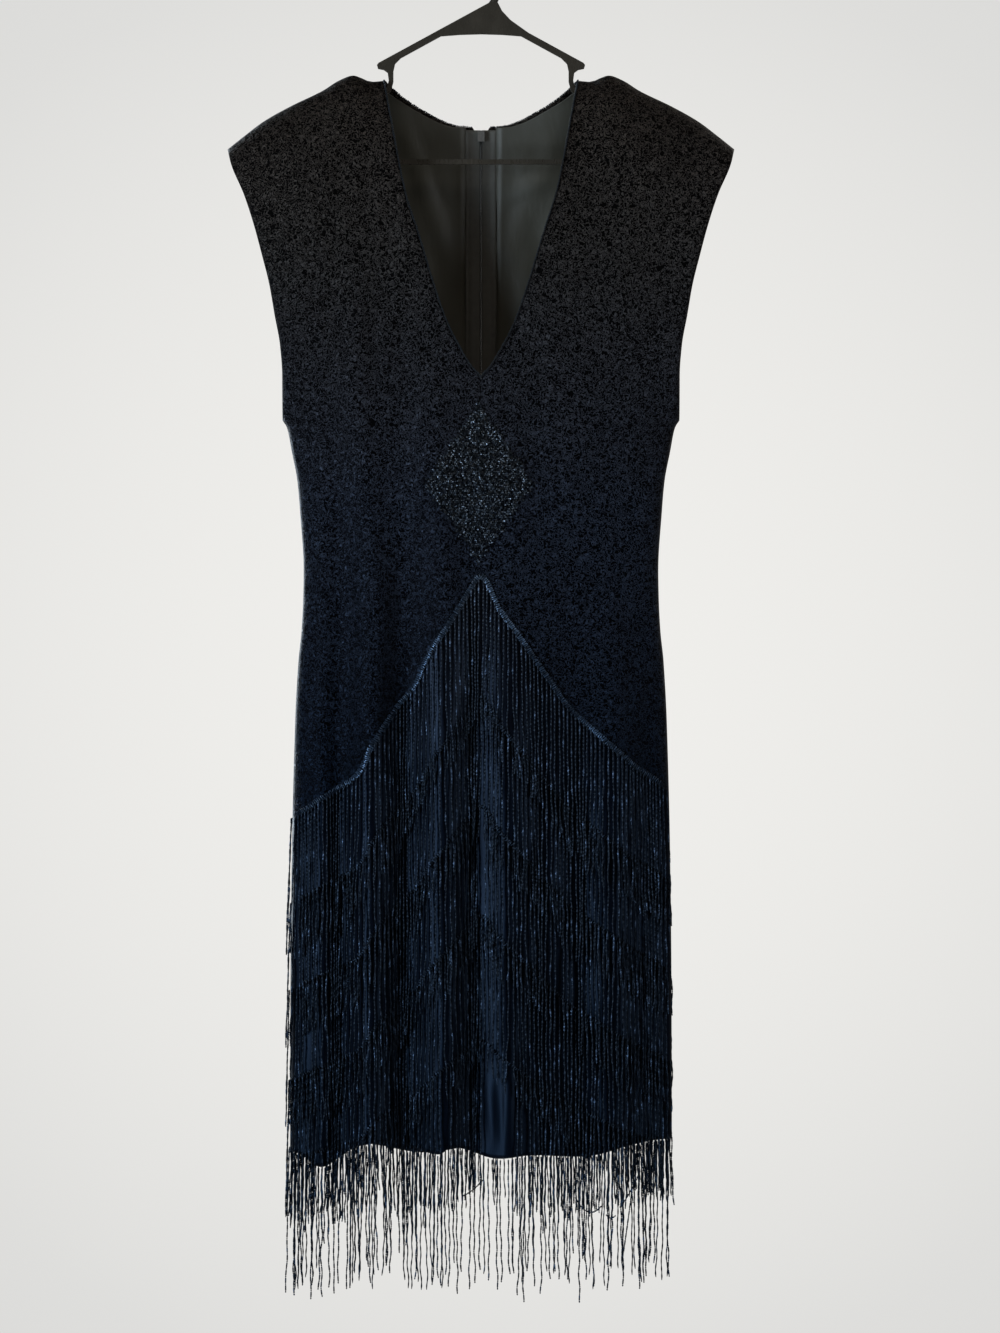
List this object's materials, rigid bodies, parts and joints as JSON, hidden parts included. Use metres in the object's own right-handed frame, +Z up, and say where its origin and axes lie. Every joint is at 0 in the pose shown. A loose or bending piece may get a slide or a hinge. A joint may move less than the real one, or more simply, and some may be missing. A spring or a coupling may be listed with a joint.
{
  "type": "flapper dress on a clothes hanger",
  "caption": "Sleeveless beaded V-neck dress with a diamond at the waist and chevron rows of bead fringe, hanging flat on a moulded hanger.",
  "frame": {"origin": "top of the inside of the hanger's hook, where the rail carries it", "axes": "+Z up; the front of the dress faces -Y; +X is the wearer's left"},
  "size_m": [0.48, 0.1046, 1.3225],
  "materials": {
    "beaded_cloth": "satin",
    "lining_cloth": "satin",
    "strand_beads": "glossy",
    "pale_beads": "glossy",
    "zip_tape": "matte",
    "zip_metal": "satin",
    "hanger_plastic": "satin"
  },
  "bodies": {
    "dress": {"hanger": "hanger_plastic", "front_panel": "beaded_cloth", "back_panel_left": "beaded_cloth", "back_panel_right": "beaded_cloth", "back_lining_left": "lining_cloth", "back_lining_right": "lining_cloth", "zip_tape_left": "zip_tape", "zip_tape_right": "zip_tape", "zip_coil": "zip_tape", "zip_slider": "zip_metal", "diamond_motif": "pale_beads", "chevron_band": "pale_beads", "fringe_front_1": "strand_beads", "fringe_back_1": "strand_beads", "fringe_front_2": "strand_beads", "fringe_back_2": "strand_beads", "fringe_front_3": "strand_beads", "fringe_back_3": "strand_beads", "fringe_front_4": "strand_beads", "fringe_back_4": "strand_beads", "fringe_front_5": "strand_beads", "fringe_back_5": "strand_beads", "hem_fringe_front": "strand_beads", "hem_fringe_back": "strand_beads"},
    "pull": {"zip_pull": "zip_metal"}
  },
  "joints": [
    {"name": "zip_pull_swing", "type": "hinge", "parent": "dress", "child": "pull", "pos_m": [0, 0.03286, -0.201], "axis": [1, 0, 0], "range_deg": [0, 110]}
  ]
}
